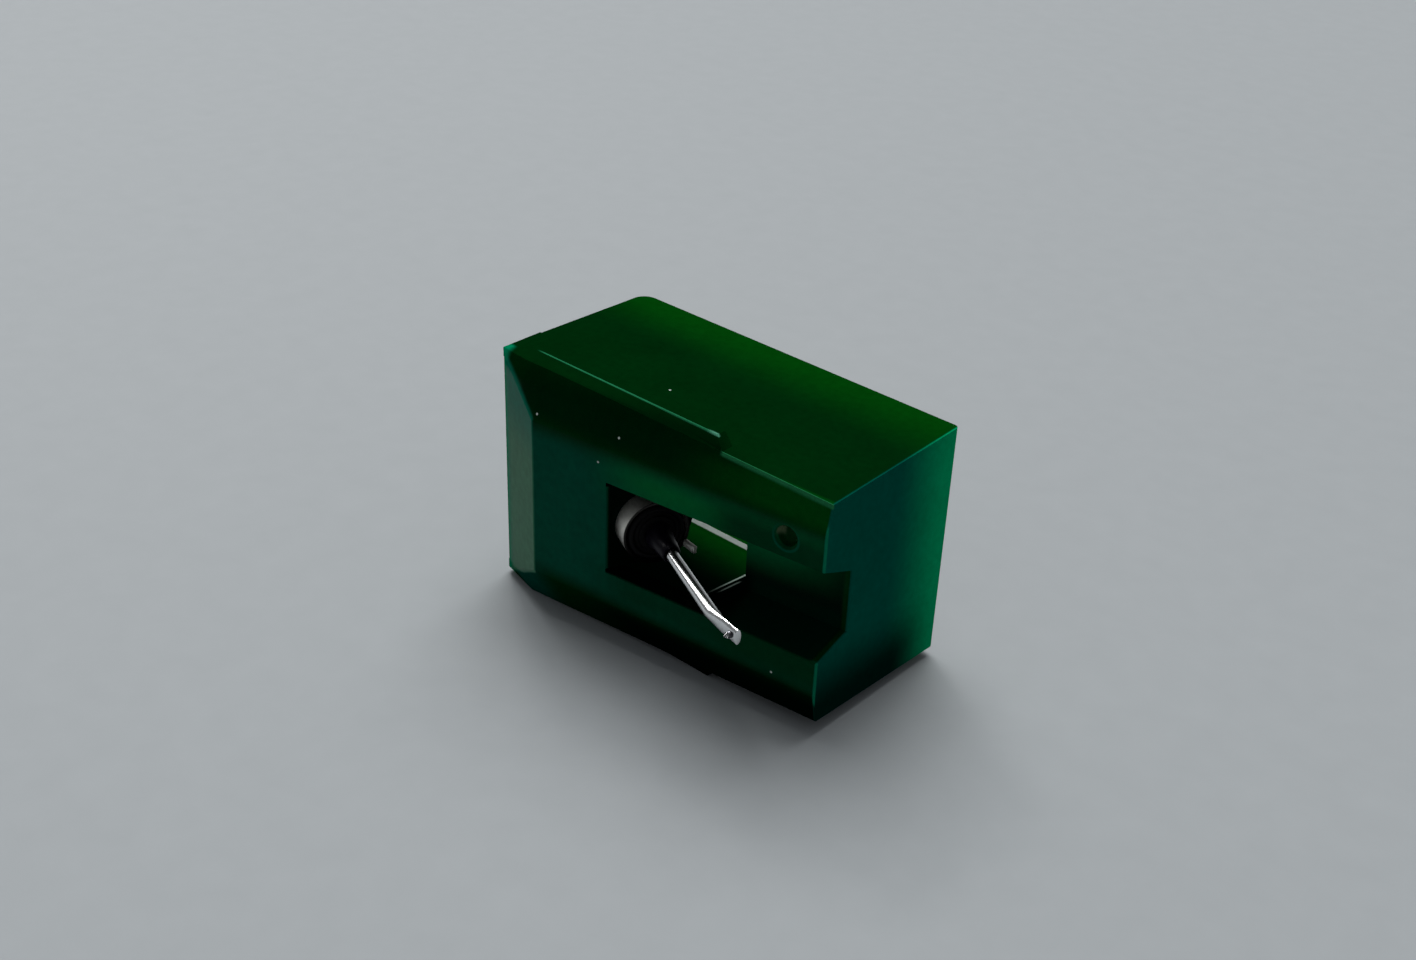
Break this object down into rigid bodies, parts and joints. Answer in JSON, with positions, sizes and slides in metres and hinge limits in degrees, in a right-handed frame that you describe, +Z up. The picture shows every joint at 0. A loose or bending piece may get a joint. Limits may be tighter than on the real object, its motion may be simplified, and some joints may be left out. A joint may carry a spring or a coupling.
{
  "type": "replacement stylus in holder",
  "caption": "Replacement stylus for a record player: faceted green plastic holder, open at the back, with a bent aluminium cantilever and a needle sprung in rubber in its window.",
  "frame": {"origin": "middle of the footprint, on the surface that the lower flank lies on", "axes": "+X to the front end, +Y to the socket's mouth and away from the record, +Z up from flank to flank"},
  "size_m": [0.0162, 0.0108, 0.0107],
  "materials": {
    "green_plastic": "glossy moulded plastic, slightly translucent",
    "sleeve_metal": "matte plated metal",
    "black_rubber": "satin moulded rubber",
    "black_bush": "satin moulded plastic",
    "cantilever_aluminium": "bright drawn tube",
    "magnet_metal": "ground sintered metal",
    "anchor_brass": "turned",
    "wire_steel": "drawn wire",
    "shank_metal": "ground pin",
    "diamond": "ground diamond"
  },
  "bodies": {
    "holder": {"stylus_holder": "green_plastic", "suspension_sleeve": "sleeve_metal", "wire_anchor": "anchor_brass", "tie_wire": "wire_steel"},
    "damper": {"rubber_damper": "black_rubber"},
    "needle_arm": {"cantilever": "cantilever_aluminium", "cantilever_bush": "black_bush", "magnet": "magnet_metal", "stylus_shank": "shank_metal", "stylus_tip": "diamond"}
  },
  "joints": [
    {"name": "needle_lift", "type": "hinge", "parent": "holder", "child": "damper", "pos_m": [-0.00084, -0.00175, 0.00535], "axis": [0, 0, 1], "range_deg": [-5, 5], "stiffness_Nm_per_rad": 0.0028, "deforming": ["tie_wire"]},
    {"name": "needle_sway", "type": "hinge", "parent": "damper", "child": "needle_arm", "pos_m": [-0.00084, -0.00175, 0.00535], "axis": [0.4352, 0.9003, 0], "range_deg": [-5, 5], "stiffness_Nm_per_rad": 0.0028, "deforming": ["tie_wire"]}
  ]
}
